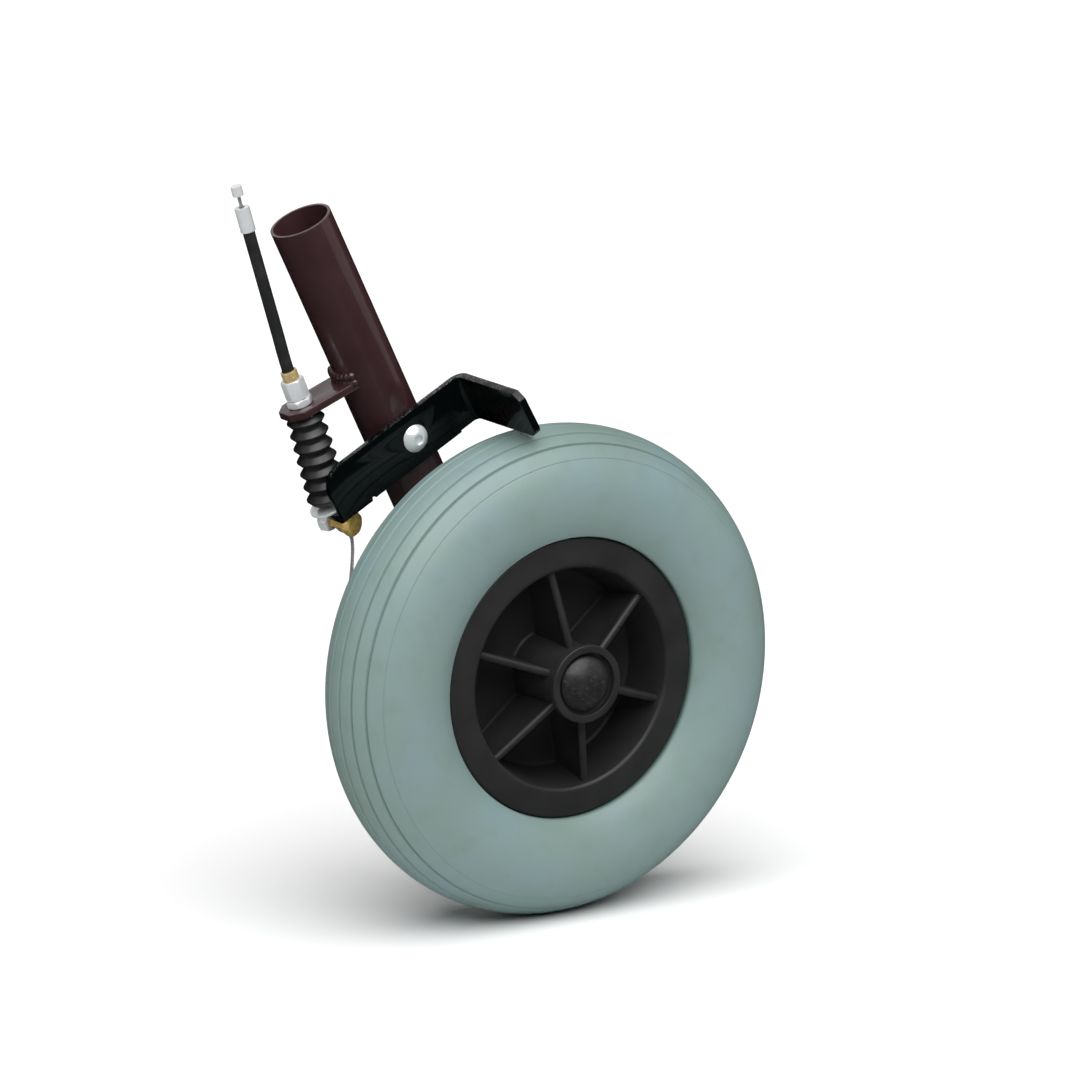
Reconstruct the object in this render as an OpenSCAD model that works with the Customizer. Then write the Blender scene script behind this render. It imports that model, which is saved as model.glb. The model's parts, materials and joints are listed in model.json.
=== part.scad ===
// Braked rear wheel unit of a mobility aid: a grey wheel on the lower end of a leg tube, with a shoe
// brake worked by a cable. The origin is the middle of the leg tube's open upper end. +Z is up, the
// wheel rolls along X, and its outer face looks along -Y.

/* [Wheel] */
// Outside diameter of the tyre
tyre_d = 200; // [196:0.5:200]
// Width of the tyre's round section
tyre_w = 50; // [46:0.5:50]
// Diameter of the rim flanges
rim_d = 114.4; // [110:0.2:116]
// Distance between the outer faces of the rim flanges
rim_w = 33.2; // [30:0.2:34]
// Number of ribs on each side of the web
rib_count = 6; // [4:1:8]
// Thickness of a rib
rib_t = 2.4; // [2:0.1:3]
// Length of the hub
hub_l = 56.6; // [56:0.2:57]

/* [Leg tube] */
// Outside diameter of the leg tube
leg_d = 25.4; // [25:0.1:25.4]
// Wall thickness of the leg tube
leg_wall = 1.6; // [1.4:0.1:2]
// Distance along the leg from the axle to its open upper end
leg_above_axle = 204; // [190:1:260]
// Distance along the leg from the axle to its lower end
leg_below_axle = 18; // [14:1:40]
// Lean of the leg from the vertical, in degrees
leg_lean = 25.43; // [25.4:0.01:25.5]
// Depth of the reamed seat in the upper end
socket_depth = 40; // [20:1:44]
// Diameter of the reamed seat in the upper end
socket_d = 23; // [22.8:0.1:23.4]
// Distance from the middle of the wheel to the middle of the leg, along the axle
leg_offset = 43.7; // [43.7:0.1:45]

/* [Brake lever] */
// Distance along the leg from the axle to the lever's pivot
pivot_height = 105; // [105:0.1:106]
// Rise of the lever from the horizontal, in degrees
lever_rise = 28.5; // [28:0.1:29]
// Thickness of the lever's flat bar
lever_t = 3; // [2.6:0.1:3]
// Length of the shoe that lies across the tyre
shoe_l = 43.7; // [38:0.1:45]

/* [Cable] */
// Diameter of the cable housing
housing_d = 5; // [4.6:0.1:5]
// Diameter of the stranded brake wire
wire_d = 1.5; // [1.2:0.1:1.6]
// Width of the tab that holds the cable adjuster
tab_w = 17; // [15:0.5:18]
// Thickness of the tab
tab_t = 3; // [2.5:0.1:3.2]
// Lean of the tab's hole from the vertical, in degrees
tab_lean = 21.7; // [21:0.1:22.5]

/* [Hidden] */

$fn = 96;
// Overlap that lets a cutter pass right through a face
eps = 0.5;
// How far one shape sinks into the next where they join in one piece
sink = 0.1;
// Gaps left between pieces: faces that touch, fixed round fits and running round fits
touch_gap = 0.01;
fixed_gap = 0.02;
running_gap = 0.05;

// Colours of the materials
burgundy = [0.26, 0.10, 0.13];
black = [0.07, 0.08, 0.08];
plastic = [0.15, 0.15, 0.15];
tyre_grey = [0.50, 0.60, 0.59];
zinc = [0.78, 0.80, 0.82];
brass = [0.75, 0.60, 0.32];
steel = [0.62, 0.63, 0.65];

// Centre of the wheel, seen from the origin
wheel_at = [
    leg_above_axle * sin(leg_lean),
    -leg_offset,
    -leg_above_axle * cos(leg_lean)
];

// Radii of the tyre, and of the rim under it
tyre_r = tyre_d / 2;
section_r = tyre_w / 2;
section_at = tyre_r - section_r;
rim_r = rim_d / 2;
rim_half = rim_w / 2;
flange_t = 3.6;
bed_r = rim_r - 7.2;
seat_half = rim_half - flange_t;
rim_round = 1.2;
// The tyre stands clear of the hub's flanges, and a third as much clear of its bed
tyre_gap = 0.3;
bed_gap = tyre_gap / 3;
// The tread has three grooves each side of the middle, in degrees round the tyre's section
groove_step = 15;
groove_w = 1.4;
groove_depth = 0.8;
crease_depth = 0.2;
shoulder_angle = 54;

// Outline of the hub, as radius and distance outward from the wheel's middle
dish_mouth_r = 46.2;
dish_rise = 0.9;
barrel_mouth_r = 44.4;
barrel_step = 2.6;
barrel_root_r = 40.4;
web_front = -4;
web_back = -7;
boss_r = 13.8;
boss_foot = 1.2;
collar_r = 15.8;
collar_l = 3.4;
collar_slope = 0.8;
collar_bore_r = 12.8;
collar_bore_depth = 2.6;
hub_half = hub_l / 2;
rib_first = 40.4;
rib_bead_r = 1.6;
rib_reach = 0.5;
front_rib_rim = 13.5;
front_rib_boss = 19.6;
back_rib_rim = -13.4;
back_rib_boss = -19.6;

// A standard small ball bearing of 8 x 22 x 7 mm
bearing_bore_r = 4;
bearing_r = 11;
bearing_w = 7;
bearing_face = 18.5;
race_r = 7.5;
ball_r = 1.98;
ball_count = 7;
groove_r = 2.02;
inner_ring_r = 6.05;
outer_ring_r = 9.0;
shield_t = 0.3;
shield_inset = 0.2;
shield_gap = 0.35;
// Step between a bearing's seat and the bore behind it
seat_step = 1.6;

// Domed cap in the hub's outer end
dome_r = 11.3;
dome_edge = 0.9;
dome_h = 5.2;
dome_base = hub_half - collar_bore_depth + running_gap;
plug_l = 3;
cap_wall = 1.4;
cap_hollow_r = 6;
cap_hollow_h = 4.4;

// Axle
axle_r = 3.96;
axle_head_af = 13;
axle_head_h = 5.3;
axle_washer_t = 1.6;
axle_nut_h = 8;
spacer_r = 6.2;
axle_hole_r = 4.2;
axle_washer_r = 7.8;
saddle_depth = 3;
saddle_drop = 1.5;
flange_stand_off = 0.6;
thread_run_out = 2;
nut_collar_h = 1;
nut_collar_share = 0.42;
leg_r = leg_d / 2;
leg_near = leg_offset - leg_r;
leg_far = leg_offset + leg_r;

// Plug in the leg's lower end
end_plug_t = 2.5;
end_plug_chamfer = 1;
end_plug_l = 8;

// Lever, in its own directions: x along the bar, y toward the leg from the front face, z up across it
lever_gap = 0.3;
lever_front = leg_near - lever_gap - lever_t;
bar_low = -10.4;
bar_high = 10.7;
shoe_low = -9.7;
lever_left = -43.1;
left_round = 9.5;
flange_right = -27.8;
relief_w = 1.5;
relief_h = 1.5;
shoe_at = 28.2;
shoe_step = 9;
bend_r = 2.5;
flange_bend_r = 0.8;
flange_low = -12.3;
flange_high = flange_low + lever_t;
flange_near_y = 18;
flange_far_y = 24;
flange_notch = -36;
flange_corner = [5.4, 3.9];
flange_wall_h = 4;
wire_at_s = -38.9;
wire_at_y = leg_offset - lever_front;
slot_w = 2.7;
tip_chamfer = 3.1;
tip_round = 4;
// Side of a cutter that is larger than anything it cuts
wide = 20;

// Pivot
pivot_r = 2.96;
bush_bore_r = 3;
bush_r = 4;
lever_hole_r = 4.05;
pivot_head_r = 5.7;
pivot_head_h = 3.2;
pivot_head_gap = 0.25;
pivot_hole_r = 3.1;
pivot_washer_r = 6.5;
socket_r = 1.9;
socket_h = 1.9;
pivot_nut_af = 10;
pivot_nut_h = 5;

// Point where the brake wire crosses the top of the lever's flange, from the wheel's centre
lever_x = [cos(lever_rise), 0, sin(lever_rise)];
lever_z = [-sin(lever_rise), 0, cos(lever_rise)];
pivot_from_axle = [-pivot_height * sin(leg_lean), leg_offset, pivot_height * cos(leg_lean)];
flange_cross = pivot_from_axle + wire_at_s * lever_x + flange_high * lever_z;

// Centre of the tab's hole: along the leg from the axle, and out from the leg's middle
tab_along = 136.4;
tab_out = 32.1;
tab_end = 8.6;
tab_corner = 4.6;
tab_hole_r = 3.2;
tab_tuck = 4;
tab_from_axle = [
    -tab_along * sin(leg_lean) - tab_out * cos(leg_lean),
    leg_offset,
    tab_along * cos(leg_lean) - tab_out * sin(leg_lean)
];
weld_r = 1.7;
weld_out = 0.4;
weld_spread = 36;
weld_step = 9;

// The span of the brake wire between the flange and the tab
span = tab_from_axle - flange_cross;
span_lean = atan2(-span[0], span[2]);
span_l = norm(span);

// Spring, seat and boot along that span
seat_t = 1;
seat_r = 8.6;
seat_hole_r = 1.7;
boot_ridges = 7;
boot_low = 1.9;
boot_high = span_l - tab_t / 2 - 1;
boot_fold = (boot_high - boot_low) / (2 * boot_ridges);
boot_wall = 1;
boot_r_top = 7.8;
boot_r_low = 8.8;
boot_valley = 2.3;
spring_r = 3.6;
spring_wire_r = 0.6;
spring_turns = 9;
spring_sides = 8;
spring_rings = 14;
// The seat leans across the span, so the lowest coil stands this much clear of it
spring_lean_gap = 0.95;
spring_low = seat_t + spring_wire_r + spring_lean_gap;
spring_high = span_l - 8.6;

// Anchor under the flange: z along the bolt toward its head, from the point where the wire crosses it
anchor_drop = 6.8;
anchor_turn = -65.7;
anchor_body_r = 2.7;
anchor_thread_r = 2.45;
anchor_head_af = 9;
anchor_head_at = 5.8;
anchor_head_h = 4.2;
anchor_body_at = 1.4;
anchor_end = -7;
anchor_nut_at = -5.9;
anchor_nut_h = 4.6;
anchor_nut_af = 8;
anchor_hole_r = 1.35;
anchor_hole_l = 8;
anchor_head_turn = 20;
anchor_nut_turn = 4;

// Adjuster, along the tab's hole from the middle of the tab
adjuster_r = 2.95;
adjuster_bore_r = 1.35;
adjuster_low = -8;
jam_nut_af = 9.5;
jam_nut_h = 3;
jam_nut_turn = 20;
thread_r = 3;
adjuster_nut_af = 10;
adjuster_nut_h = 4.6;
adjuster_head_af = 8.4;
adjuster_head_at = tab_t / 2 + jam_nut_h + sink;
adjuster_head_h = 8.2;
ferrule_seat_r = 3.05;
ferrule_r = 3;
ferrule_seat_depth = 4;
ferrule_at = adjuster_head_at + adjuster_head_h - ferrule_seat_depth;
ferrule_l = 8;
ferrule_ridges = 4;
ferrule_ridge_r = 3.35;
ferrule_ridge_share = 0.55;
ferrule_ridges_at = ferrule_seat_depth + 0.15;
ferrule_ridge_step = (ferrule_l - ferrule_seat_depth) / ferrule_ridges;
ferrule_floor = 1.2;
ferrule_bore_r = housing_d / 2 + 0.12;

// Route of the cable housing from the ferrule's floor to its upper end, in the leg's middle plane
housing_route = [
    [-4.5, 0, -63.4], [-5.4, 0, -61.1], [-6.3, 0, -58.9], [-7.6, 0, -55], [-9.1, 0, -50],
    [-10.5, 0, -45], [-12, 0, -40], [-13.5, 0, -35], [-15, 0, -30], [-16.5, 0, -25], [-18, 0, -20],
    [-19.5, 0, -15], [-21, 0, -10], [-22.5, 0, -5], [-23.7, 0, -1], [-24.9, 0, 3]
];
// Direction of the cable at its upper end, in degrees from the vertical
cable_lean = 16.7;
liner_r = 1.2;
upper_ferrule_l = 10;
upper_ferrule_r = 3;
upper_ferrule_socket = 5;
nipple_gap = 5;
nipple_r = 2.2;
nipple_h = 4;
// Route of the free wire tail below the anchor, from the point where the wire crosses the bolt
tail_route = [
    [0, 0, -1], [0.5, -0.1, -2.2], [2, -0.5, -3.8], [4.4, -1.3, -5.1], [6.2, -1.9, -7], [6.6, -2.1, -9.5],
    [6.6, -2.3, -13], [6.2, -2.5, -18], [5.6, -2.6, -23], [5.2, -2.7, -27.5]
];
tail_cap_r = 1.2;
tail_cap_l = 5;
tail_cap_grip = 2;
tail_cap_over = 0.8;
tail_cap_lean = [-5, 2];

// Places children in the wheel's own directions: x and y in the wheel's plane, z outward
module on_axle() {
    translate(wheel_at)
        rotate([90, 0, 0])
            children();
}

// Places children on the leg's middle line at the axle's height, z up along the leg
module on_leg() {
    translate(wheel_at + [0, leg_offset, 0])
        rotate([0, -leg_lean, 0])
            children();
}

// Places children in the lever's directions, with the origin on the pivot at the bar's front face
module on_lever() {
    translate(wheel_at + [pivot_from_axle[0], lever_front, pivot_from_axle[2]])
        rotate([0, -lever_rise, 0])
            children();
}

// Places children at the middle of the tab's hole, z up along the hole
module on_tab() {
    translate(wheel_at + tab_from_axle)
        rotate([0, -tab_lean, 0])
            children();
}

// Places children where the wire crosses the flange, z up along the wire's span
module on_span() {
    translate(wheel_at + flange_cross)
        rotate([0, -span_lean, 0])
            children();
}

// Places children where the wire crosses the anchor bolt
module at_anchor() {
    on_span()
        translate([0, 0, -anchor_drop])
            rotate([0, span_lean, 0])
                children();
}

// Places children on the anchor bolt, z toward its head
module on_anchor_bolt() {
    at_anchor()
        rotate([0, 0, anchor_turn])
            rotate([0, 90, 0])
                children();
}

// A hexagonal prism of the given width across flats, with both ends' corners turned off
module hexagon(af, h) {
    intersection() {
        rotate([0, 0, 30])
            cylinder(d = af / cos(30), h = h, $fn = 6);
        rotate_extrude()
            polygon([
                [0, 0],
                [af * 0.48, 0],
                [af * 0.6, af * 0.07],
                [af * 0.6, h - af * 0.07],
                [af * 0.48, h],
                [0, h]
            ]);
    }
}

// A hexagonal nut with a plain bore
module hexagon_nut(af, h, bore_r) {
    difference() {
        hexagon(af, h);
        translate([0, 0, -eps])
            cylinder(r = bore_r, h = h + 2 * eps);
    }
}

// A flat ring
module ring(outer_r, inner_r, h) {
    difference() {
        cylinder(r = outer_r, h = h);
        translate([0, 0, -eps])
            cylinder(r = inner_r, h = h + 2 * eps);
    }
}

// One cross-section of a swept tube, in the plane square to the direction given
function tube_ring(at, toward, r, sides) =
    let (
        along = toward / norm(toward),
        guide = abs(along[1]) > 0.9 ? [1, 0, 0] : [0, 1, 0],
        side = cross(guide, along) / norm(cross(guide, along)),
        up = cross(along, side)
    )
    [for (i = [0 : sides - 1]) at + r * (cos(360 * i / sides) * side + sin(360 * i / sides) * up)];

// Direction of a route at one of its points
function route_direction(route, i) =
    route[min(i + 1, len(route) - 1)] - route[max(i - 1, 0)];

// A round tube of the given radius swept along a route
module swept(route, r, sides) {
    rings = [for (i = [0 : len(route) - 1]) tube_ring(route[i], route_direction(route, i), r, sides)];
    last = (len(route) - 1) * sides;
    walls = [
        for (i = [0 : len(route) - 2], j = [0 : sides - 1])
            let (
                here = i * sides,
                next = (i + 1) * sides,
                turn = (j + 1) % sides
            )
            each [[here + j, next + j, next + turn], [here + j, next + turn, here + turn]]
    ];
    first_end = [for (j = [0 : sides - 1]) j];
    last_end = [for (j = [0 : sides - 1]) last + sides - 1 - j];
    polyhedron(points = [for (section = rings) each section], faces = concat(walls, [first_end, last_end]));
}

// Steel leg tube with a reamed upper seat and cross holes for the axle and the lever's pivot
module leg_tube() {
    color(burgundy)
        on_leg()
            difference() {
                translate([0, 0, -leg_below_axle])
                    cylinder(r = leg_r, h = leg_below_axle + leg_above_axle);
                translate([0, 0, -leg_below_axle - eps])
                    cylinder(r = leg_r - leg_wall, h = leg_below_axle + leg_above_axle - socket_depth + eps);
                translate([0, 0, leg_above_axle - socket_depth - touch_gap])
                    cylinder(d = socket_d, h = socket_depth + eps);
                rotate([90, 0, 0])
                    cylinder(r = axle_hole_r, h = 2 * leg_d, center = true);
                translate([0, 0, pivot_height])
                    rotate([90, 0, 0])
                        cylinder(r = pivot_hole_r, h = 2 * leg_d, center = true);
            }
}

// Plastic plug that closes the leg's lower end
module leg_end_plug() {
    color(plastic)
        on_leg()
            translate([0, 0, -leg_below_axle]) {
                translate([0, 0, -end_plug_t])
                    rotate_extrude()
                        polygon([
                            [0, 0],
                            [leg_r - end_plug_chamfer, 0],
                            [leg_r, end_plug_chamfer],
                            [leg_r, end_plug_t - touch_gap],
                            [0, end_plug_t - touch_gap]
                        ]);
                translate([0, 0, -sink])
                    cylinder(r = leg_r - leg_wall - fixed_gap, h = end_plug_l);
            }
}

// Tab that carries the cable adjuster, its inner end cut to fit the round tube
module cable_tab() {
    color(burgundy)
        difference() {
            on_tab()
                translate([0, 0, -tab_t / 2])
                    difference() {
                        linear_extrude(height = tab_t)
                            polygon([
                                [-tab_end, -tab_w / 2 + tab_corner],
                                [-tab_end + tab_corner, -tab_w / 2],
                                [tab_out - tab_tuck, -tab_w / 2],
                                [tab_out - tab_tuck, tab_w / 2],
                                [-tab_end + tab_corner, tab_w / 2],
                                [-tab_end, tab_w / 2 - tab_corner]
                            ]);
                        translate([0, 0, -eps])
                            cylinder(r = tab_hole_r, h = tab_t + 2 * eps);
                    }
            on_leg()
                cylinder(r = leg_r + touch_gap, h = leg_above_axle);
        }
}

// Beads of weld along the joint between the tab and the tube
module weld_beads() {
    color(burgundy)
        on_leg()
            difference() {
                for (level = [-1, 1], angle = [-weld_spread : weld_step : weld_spread])
                    rotate([0, 0, 180 + angle])
                        translate([
                            leg_r + weld_out,
                            0,
                            tab_along + (tab_out - leg_r * cos(angle)) * tan(leg_lean - tab_lean)
                                + level * tab_t / 2
                        ])
                            sphere(r = weld_r, $fn = 24);
                translate([0, 0, pivot_height])
                    cylinder(r = leg_r - leg_wall, h = leg_above_axle - pivot_height);
            }
}

// Cutter for a groove round the tread, at the given angle round the tyre's section
module tread_groove(angle, depth, half_w) {
    translate([section_at, 0])
        rotate(angle)
            translate([section_r - depth, 0])
                polygon([[0, 0], [2 * depth, half_w], [2 * depth, -half_w]]);
}

// Solid grey tyre of round section, with fine grooves round its tread
module tyre() {
    bed_at = bed_r + bed_gap;
    bed_half = seat_half - bed_gap;
    color(tyre_grey)
        on_axle()
            rotate_extrude($fn = 180)
                difference() {
                    union() {
                        translate([section_at, 0])
                            circle(r = section_r, $fn = 120);
                        translate([bed_at, -bed_half])
                            square([section_at - bed_at, 2 * bed_half]);
                    }
                    translate([0, -section_r])
                        square([bed_at, tyre_w]);
                    for (side = [0, 1])
                        mirror([0, side])
                            translate([0, bed_half])
                                square([rim_r + tyre_gap, section_r]);
                    for (side = [-1, 1], i = [0 : 2])
                        tread_groove(side * groove_step * (i + 0.5), groove_depth, groove_w);
                    for (side = [-1, 1])
                        tread_groove(side * shoulder_angle, crease_depth, groove_w / 3);
                }
}

// One rib of the hub, in the plane through the axle; the bead rounds its free edge
module hub_rib(rim_level, boss_level, root_level) {
    rise = boss_level - rim_level;
    run = barrel_mouth_r - boss_r;
    rotate([90, 0, 0]) {
        linear_extrude(height = rib_t, center = true)
            polygon([
                [boss_r - rib_reach, root_level],
                [barrel_root_r + rib_reach, root_level],
                [barrel_mouth_r + rib_reach, rim_level],
                [boss_r - rib_reach, boss_level]
            ]);
        translate([barrel_mouth_r + rib_reach, rim_level, 0])
            rotate([0, 0, atan2(rise, -run)])
                rotate([0, 90, 0])
                    cylinder(r = rib_bead_r, h = norm([rise, run]) + rib_reach, $fn = 32);
    }
}

// Black moulded hub: rim, dished web, boss and the ribs between them
module hub() {
    color(plastic)
        on_axle()
            difference() {
                union() {
                    rotate_extrude($fn = 180)
                        polygon([
                            [bearing_r, -hub_half + seat_step],
                            [collar_r, -hub_half],
                            [collar_r, -hub_half + collar_l],
                            [boss_r, -hub_half + collar_l + collar_slope],
                            [boss_r + boss_foot, web_back],
                            [barrel_root_r, web_back],
                            [barrel_mouth_r, barrel_step - rim_half],
                            [dish_mouth_r, -rim_half],
                            [rim_r - rim_round, -rim_half],
                            [rim_r, -rim_half + rim_round],
                            [rim_r, -seat_half],
                            [bed_r, -seat_half],
                            [bed_r, seat_half],
                            [rim_r, seat_half],
                            [rim_r, rim_half - rim_round],
                            [rim_r - rim_round, rim_half],
                            [dish_mouth_r, rim_half + dish_rise],
                            [barrel_mouth_r + rib_reach, rim_half],
                            [barrel_mouth_r, rim_half - barrel_step],
                            [barrel_root_r, web_front],
                            [boss_r + boss_foot, web_front],
                            [boss_r, hub_half - collar_l - collar_slope],
                            [collar_r, hub_half - collar_l],
                            [collar_r, hub_half],
                            [bearing_r, hub_half - seat_step]
                        ]);
                    for (i = [0 : rib_count - 1])
                        rotate([0, 0, rib_first + 360 * i / rib_count]) {
                            hub_rib(front_rib_rim, front_rib_boss, web_front - rib_reach);
                            hub_rib(back_rib_rim, back_rib_boss, web_back + rib_reach);
                        }
                }
                cylinder(r = bearing_r - seat_step, h = hub_l + 2 * eps, center = true);
                for (side = [0, 1])
                    mirror([0, 0, side]) {
                        translate([0, 0, bearing_face - bearing_w])
                            cylinder(r = bearing_r, h = hub_half);
                        translate([0, 0, hub_half - collar_bore_depth])
                            cylinder(r = collar_bore_r, h = hub_half);
                    }
            }
}

// Domed cap pressed into the hub's outer end
module hub_cap() {
    sphere_r = (dome_r * dome_r + dome_h * dome_h) / (2 * dome_h);
    hollow_r = bearing_r - cap_wall;
    color(plastic)
        on_axle()
            difference() {
                union() {
                    translate([0, 0, dome_base])
                        cylinder(r = dome_r, h = dome_edge);
                    intersection() {
                        translate([0, 0, dome_base + dome_edge + dome_h - sphere_r])
                            sphere(r = sphere_r, $fn = 120);
                        translate([0, 0, dome_base])
                            cylinder(r = dome_r, h = 2 * dome_h);
                    }
                    translate([0, 0, dome_base - plug_l])
                        cylinder(r = bearing_r - fixed_gap, h = plug_l + sink);
                }
                translate([0, 0, dome_base - plug_l - eps])
                    cylinder(r = hollow_r, h = plug_l + eps + sink);
                translate([0, 0, dome_base])
                    cylinder(r1 = hollow_r, r2 = cap_hollow_r, h = cap_hollow_h);
            }
}

// Places children in both bearings, z outward from the wheel's middle
module in_bearings() {
    on_axle()
        for (side = [0, 1])
            mirror([0, 0, side])
                translate([0, 0, bearing_face - bearing_w])
                    children();
}

// Ring-shaped groove that the balls run in
module ball_groove() {
    translate([0, 0, bearing_w / 2])
        rotate_extrude()
            translate([race_r, 0])
                circle(r = groove_r, $fn = 48);
}

// Outer rings of the two bearings
module bearing_outer_rings() {
    color(steel)
        in_bearings()
            difference() {
                ring(bearing_r - fixed_gap, outer_ring_r, bearing_w);
                ball_groove();
            }
}

// Inner rings of the two bearings
module bearing_inner_rings() {
    color(steel)
        in_bearings()
            difference() {
                ring(inner_ring_r, bearing_bore_r, bearing_w);
                ball_groove();
            }
}

// Balls of the two bearings
module bearing_balls() {
    color(steel)
        in_bearings()
            for (i = [0 : ball_count - 1])
                rotate([0, 0, 360 * i / ball_count])
                    translate([race_r, 0, bearing_w / 2])
                        sphere(r = ball_r, $fn = 32);
}

// Thin shields that close the bearings on both faces
module bearing_shields() {
    color(zinc)
        in_bearings()
            for (level = [shield_inset, bearing_w - shield_inset - shield_t])
                translate([0, 0, level])
                    ring(outer_ring_r - fixed_gap, inner_ring_r + shield_gap, shield_t);
}

// Sleeve that keeps the two inner rings apart
module bearing_spacer() {
    half = bearing_face - bearing_w - touch_gap;
    color(zinc)
        on_axle()
            translate([0, 0, -half])
                ring(inner_ring_r - shield_gap, bearing_bore_r + running_gap, 2 * half);
}

// Hexagon-headed bolt that carries the wheel
module axle_bolt() {
    head_at = bearing_face + axle_washer_t;
    bolt_end = leg_far + saddle_depth + axle_nut_h + thread_run_out;
    color(zinc)
        on_axle() {
            translate([0, 0, head_at])
                hexagon(axle_head_af, axle_head_h);
            translate([0, 0, -bolt_end])
                cylinder(r = axle_r, h = bolt_end + head_at + eps);
        }
}

// Washer under the bolt's head
module axle_head_washer() {
    color(zinc)
        on_axle()
            translate([0, 0, bearing_face + touch_gap])
                ring(axle_washer_r, bearing_bore_r + running_gap, axle_washer_t - 2 * touch_gap);
}

// Sleeve between the inner bearing and the leg, hollowed at one end to sit on the round tube
module axle_spacer() {
    length = saddle_drop + leg_near - bearing_face;
    color(plastic)
        difference() {
            on_axle()
                translate([0, 0, -leg_near - saddle_drop])
                    difference() {
                        union() {
                            cylinder(r = axle_washer_r, h = length - (hub_half - bearing_face) - flange_stand_off);
                            cylinder(r = spacer_r, h = length - touch_gap);
                        }
                        translate([0, 0, -eps])
                            cylinder(r = bearing_bore_r + running_gap, h = leg_near + eps);
                    }
            on_leg()
                cylinder(r = leg_r + touch_gap, h = leg_d * 2, center = true);
        }
}

// Washer hollowed to sit on the tube's far side
module axle_saddle_washer() {
    color(plastic)
        difference() {
            on_axle()
                translate([0, 0, -leg_far - saddle_depth])
                    ring(axle_washer_r, bearing_bore_r + running_gap, saddle_depth + saddle_drop);
            on_leg()
                cylinder(r = leg_r + touch_gap, h = leg_d * 2, center = true);
        }
}

// A locking nut, with the round collar that holds its nylon ring
module locking_nut(af, h, bore_r) {
    hexagon_nut(af, h, bore_r);
    translate([0, 0, h - nut_collar_h / 2])
        ring(af * nut_collar_share, bore_r, nut_collar_h);
}

// Locking nut on the axle bolt
module axle_nut() {
    color(zinc)
        on_axle()
            translate([0, 0, -leg_far - saddle_depth - touch_gap])
                mirror([0, 0, 1])
                    locking_nut(axle_head_af, axle_nut_h, axle_r + fixed_gap);
}

// Outline of the lever seen along the pivot
module lever_outline() {
    difference() {
        union() {
            translate([lever_left, flange_low])
                square([flange_right - lever_left, bar_high - flange_low - left_round]);
            translate([lever_left + left_round, bar_low])
                square([shoe_at + lever_t - lever_left - left_round, bar_high - bar_low]);
            translate([lever_left + left_round, bar_high - left_round])
                circle(r = left_round);
        }
        translate([flange_right, flange_low - eps])
            square([relief_w, bar_low + relief_h - flange_low]);
        translate([shoe_at - shoe_step, bar_low - eps])
            square([wide, shoe_low - bar_low + eps]);
    }
}

// Outline of the bar and the shoe seen from above
module lever_bend() {
    bend_at = shoe_at - bend_r;
    translate([lever_left, 0])
        square([bend_at - lever_left, lever_t]);
    translate([shoe_at, -shoe_l])
        square([lever_t, shoe_l - bend_r]);
    translate([bend_at, -bend_r])
        difference() {
            circle(r = bend_r + lever_t);
            circle(r = bend_r);
            translate([-wide, -wide / 2])
                square([wide, wide]);
            translate([-wide / 2, -wide])
                square([wide, wide]);
        }
}

// Outline of the flange seen along the bar: y toward the leg, z up
module flange_bend() {
    bend_out = flange_bend_r + lever_t;
    translate([bend_out, flange_low])
        square([flange_far_y - bend_out, lever_t]);
    translate([0, flange_low + bend_out])
        square([lever_t, flange_wall_h]);
    translate([bend_out, flange_low + bend_out])
        difference() {
            circle(r = bend_out);
            circle(r = flange_bend_r);
            translate([0, -wide / 2])
                square([wide, wide]);
            translate([-wide / 2, 0])
                square([wide, wide]);
        }
}

// Bar and shoe of the lever, without the strip that the flange is bent from
module lever_bar() {
    intersection() {
        translate([0, 0, flange_low - eps])
            linear_extrude(height = bar_high - flange_low + 2 * eps)
                lever_bend();
        translate([0, lever_t + eps, 0])
            rotate([90, 0, 0])
                linear_extrude(height = shoe_l + lever_t + 2 * eps)
                    difference() {
                        lever_outline();
                        translate([lever_left - eps, flange_low - eps])
                            square([flange_right - lever_left + eps, lever_t + flange_bend_r + 2 * eps]);
                    }
    }
}

// Cutter for the shoe's tip: a chamfer at its top corner and a round at its lower one
module shoe_tip() {
    translate([shoe_at - eps, -shoe_l, bar_high])
        rotate([0, 90, 0])
            cylinder(r = tip_chamfer, h = lever_t + 2 * eps, $fn = 4);
    difference() {
        translate([shoe_at - eps, -shoe_l - eps, shoe_low - eps])
            cube([lever_t + 2 * eps, tip_round + eps, tip_round + eps]);
        translate([shoe_at - 2 * eps, tip_round - shoe_l, shoe_low + tip_round])
            rotate([0, 90, 0])
                cylinder(r = tip_round, h = lever_t + 4 * eps);
    }
}

// Cutter for the flange: a notch at its far left corner, the corner itself and the slot for the wire
module flange_cuts() {
    notch_l = flange_notch - lever_left;
    linear_extrude(height = lever_t + 2 * eps) {
        translate([lever_left - eps, flange_near_y])
            square([notch_l + eps, flange_far_y - flange_near_y + eps]);
        translate([lever_left, flange_near_y])
            polygon([[-eps, -flange_corner[1] - eps], [flange_corner[0] + eps, eps], [-eps, eps]]);
        translate([wire_at_s, wire_at_y])
            circle(d = slot_w);
        translate([wire_at_s - slot_w / 2, wire_at_y])
            square([slot_w, flange_far_y]);
    }
}

// Bent steel brake lever: flat bar, shoe across the tyre, and flange for the cable
module brake_lever() {
    color(black)
        on_lever()
            difference() {
                union() {
                    lever_bar();
                    translate([lever_left, 0, 0])
                        rotate([90, 0, 90])
                            linear_extrude(height = flange_right - lever_left)
                                flange_bend();
                }
                translate([0, lever_t + eps, 0])
                    rotate([90, 0, 0])
                        cylinder(r = lever_hole_r, h = lever_t + 2 * eps);
                shoe_tip();
                translate([0, 0, flange_low - eps])
                    flange_cuts();
            }
}

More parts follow.
